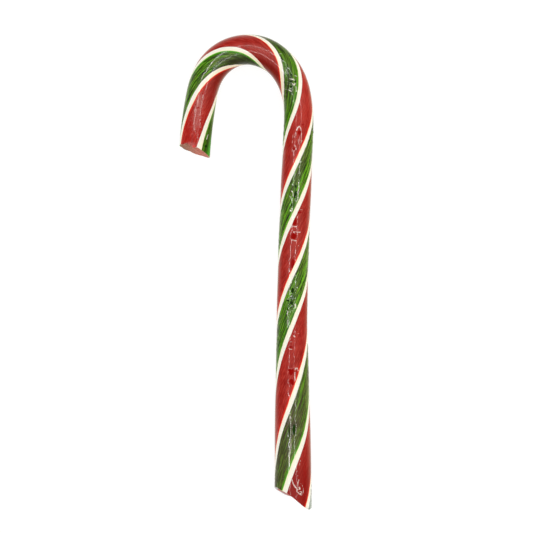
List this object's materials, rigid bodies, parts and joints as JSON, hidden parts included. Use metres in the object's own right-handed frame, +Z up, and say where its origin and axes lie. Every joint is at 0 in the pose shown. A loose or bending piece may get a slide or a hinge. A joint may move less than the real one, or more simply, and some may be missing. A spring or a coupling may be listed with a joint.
{
  "type": "candy cane",
  "caption": "Candy cane: a glossy stick of boiled sugar bent into a crook, wound with red and green bands parted by cream stripes, snapped at both ends and lying on its side.",
  "frame": {"origin": "middle of the cane's box, on the plane that it lies on", "axes": "+Z up from that plane, +Y along the stick towards the crown of the crook, +X from the crook's tip across to the stick"},
  "size_m": [0.045, 0.16, 0.0122],
  "materials": {
    "striped_candy": "glossy boiled sugar: red and green bands parted by narrow cream stripes, matt pinkish-brown where snapped"
  },
  "bodies": {
    "root": {"candy_cane": "striped_candy"}
  },
  "joints": []
}
